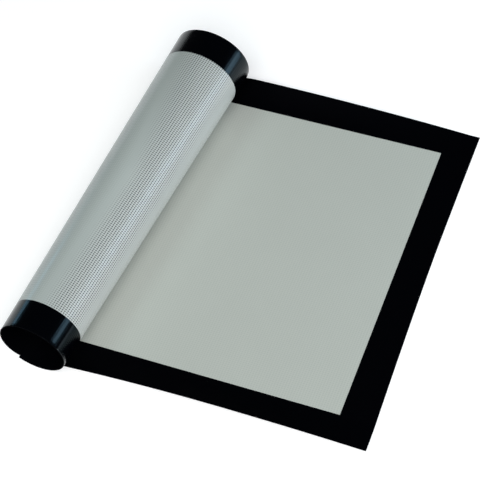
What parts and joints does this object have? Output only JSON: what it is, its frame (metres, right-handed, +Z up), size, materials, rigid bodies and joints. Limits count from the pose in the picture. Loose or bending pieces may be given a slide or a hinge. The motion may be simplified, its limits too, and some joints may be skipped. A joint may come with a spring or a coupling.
{
  "type": "baking mat",
  "caption": "Thin rectangular silicone baking mat with a glass-fibre cloth inside and a wide dark border, partly rolled up; the roll lays out flat.",
  "frame": {"origin": "on the underside, in the middle of the part of the mat that lies flat", "axes": "+X along the mat's length to its flat end, +Y across its width, +Z up from the table"},
  "size_m": [0.3717, 0.4098, 0.0872],
  "materials": {
    "pale_silicone": "satin, faint square weave",
    "black_silicone": "satin",
    "glass_cloth": "plain weave, matt"
  },
  "bodies": {
    "flat": {"flat_cloth": "glass_cloth", "flat_near_border": "black_silicone", "flat_far_border": "black_silicone", "flat_right_border": "black_silicone", "flat_panel": "pale_silicone"},
    "roll_01": {"roll_01_cloth": "glass_cloth", "roll_01_near_border": "black_silicone", "roll_01_far_border": "black_silicone", "roll_01_panel": "pale_silicone"},
    "roll_02": {"roll_02_cloth": "glass_cloth", "roll_02_near_border": "black_silicone", "roll_02_far_border": "black_silicone", "roll_02_panel": "pale_silicone"},
    "roll_03": {"roll_03_cloth": "glass_cloth", "roll_03_near_border": "black_silicone", "roll_03_far_border": "black_silicone", "roll_03_panel": "pale_silicone"},
    "roll_04": {"roll_04_cloth": "glass_cloth", "roll_04_near_border": "black_silicone", "roll_04_far_border": "black_silicone", "roll_04_panel": "pale_silicone"},
    "roll_05": {"roll_05_cloth": "glass_cloth", "roll_05_near_border": "black_silicone", "roll_05_far_border": "black_silicone", "roll_05_panel": "pale_silicone"},
    "roll_06": {"roll_06_cloth": "glass_cloth", "roll_06_near_border": "black_silicone", "roll_06_far_border": "black_silicone", "roll_06_panel": "pale_silicone"},
    "roll_07": {"roll_07_cloth": "glass_cloth", "roll_07_near_border": "black_silicone", "roll_07_far_border": "black_silicone", "roll_07_panel": "pale_silicone"},
    "roll_08": {"roll_08_cloth": "glass_cloth", "roll_08_near_border": "black_silicone", "roll_08_far_border": "black_silicone", "roll_08_panel": "pale_silicone"},
    "roll_09": {"roll_09_cloth": "glass_cloth", "roll_09_near_border": "black_silicone", "roll_09_far_border": "black_silicone", "roll_09_panel": "pale_silicone"},
    "roll_10": {"roll_10_cloth": "glass_cloth", "roll_10_near_border": "black_silicone", "roll_10_far_border": "black_silicone", "roll_10_panel": "pale_silicone"},
    "roll_11": {"roll_11_cloth": "glass_cloth", "roll_11_near_border": "black_silicone", "roll_11_far_border": "black_silicone", "roll_11_panel": "pale_silicone"},
    "roll_12": {"roll_12_cloth": "glass_cloth", "roll_12_near_border": "black_silicone", "roll_12_far_border": "black_silicone", "roll_12_panel": "pale_silicone", "roll_12_free_border": "black_silicone"},
    "roll_13": {"roll_13_cloth": "glass_cloth", "roll_13_near_border": "black_silicone", "roll_13_far_border": "black_silicone", "roll_13_free_border": "black_silicone"}
  },
  "joints": [
    {"name": "unroll", "type": "hinge", "parent": "flat", "child": "roll_01", "pos_m": [-0.16921, 0, 0.00132], "axis": [-0.0947, -0.9955, -0.0006], "range_deg": [0, 28.76]},
    {"name": "bend_02", "type": "hinge", "parent": "roll_01", "child": "roll_02", "pos_m": [-0.18569, 0, 0.01018], "axis": [-0.0876, -0.9961, -0.0044], "range_deg": [0, 28.76]},
    {"name": "bend_03", "type": "hinge", "parent": "roll_02", "child": "roll_03", "pos_m": [-0.19487, 0, 0.02455], "axis": [-0.0836, -0.9964, -0.0107], "range_deg": [0, 28.76]},
    {"name": "bend_04", "type": "hinge", "parent": "roll_03", "child": "roll_04", "pos_m": [-0.19596, 0, 0.04324], "axis": [-0.0831, -0.9964, -0.0188], "range_deg": [0, 28.76]},
    {"name": "bend_05", "type": "hinge", "parent": "roll_04", "child": "roll_05", "pos_m": [-0.18647, 0, 0.06317], "axis": [-0.0872, -0.9958, -0.0275], "range_deg": [0, 28.76]},
    {"name": "bend_06", "type": "hinge", "parent": "roll_05", "child": "roll_06", "pos_m": [-0.16717, 0, 0.07728], "axis": [-0.0955, -0.9949, -0.0336], "range_deg": [0, 28.76]},
    {"name": "bend_07", "type": "hinge", "parent": "roll_06", "child": "roll_07", "pos_m": [-0.14496, 0, 0.08036], "axis": [-0.1051, -0.9939, -0.0349], "range_deg": [0, 28.76]},
    {"name": "bend_08", "type": "hinge", "parent": "roll_07", "child": "roll_08", "pos_m": [-0.12731, 0, 0.07372], "axis": [-0.1127, -0.9931, -0.032], "range_deg": [0, 28.76]},
    {"name": "bend_09", "type": "hinge", "parent": "roll_08", "child": "roll_09", "pos_m": [-0.11667, 0, 0.06116], "axis": [-0.1172, -0.9927, -0.0265], "range_deg": [0, 28.76]},
    {"name": "bend_10", "type": "hinge", "parent": "roll_09", "child": "roll_10", "pos_m": [-0.11341, 0, 0.04414], "axis": [-0.1187, -0.9928, -0.0191], "range_deg": [0, 28.76]},
    {"name": "bend_11", "type": "hinge", "parent": "roll_10", "child": "roll_11", "pos_m": [-0.11981, 0, 0.02461], "axis": [-0.1159, -0.9932, -0.0107], "range_deg": [0, 28.76]},
    {"name": "bend_12", "type": "hinge", "parent": "roll_11", "child": "roll_12", "pos_m": [-0.13657, 0, 0.0088], "axis": [-0.1087, -0.9941, -0.0038], "range_deg": [0, 28.76]},
    {"name": "bend_13", "type": "hinge", "parent": "roll_12", "child": "roll_13", "pos_m": [-0.15817, 0, 0.003], "axis": [-0.0995, -0.995, -0.0013], "range_deg": [0, 28.76]}
  ],
  "couplings": [
    {"joint": "bend_02", "follows": "unroll", "ratio": 1},
    {"joint": "bend_03", "follows": "unroll", "ratio": 1},
    {"joint": "bend_04", "follows": "unroll", "ratio": 1},
    {"joint": "bend_05", "follows": "unroll", "ratio": 1},
    {"joint": "bend_06", "follows": "unroll", "ratio": 1},
    {"joint": "bend_07", "follows": "unroll", "ratio": 1},
    {"joint": "bend_08", "follows": "unroll", "ratio": 1},
    {"joint": "bend_09", "follows": "unroll", "ratio": 1},
    {"joint": "bend_10", "follows": "unroll", "ratio": 1},
    {"joint": "bend_11", "follows": "unroll", "ratio": 1},
    {"joint": "bend_12", "follows": "unroll", "ratio": 1},
    {"joint": "bend_13", "follows": "unroll", "ratio": 1}
  ]
}
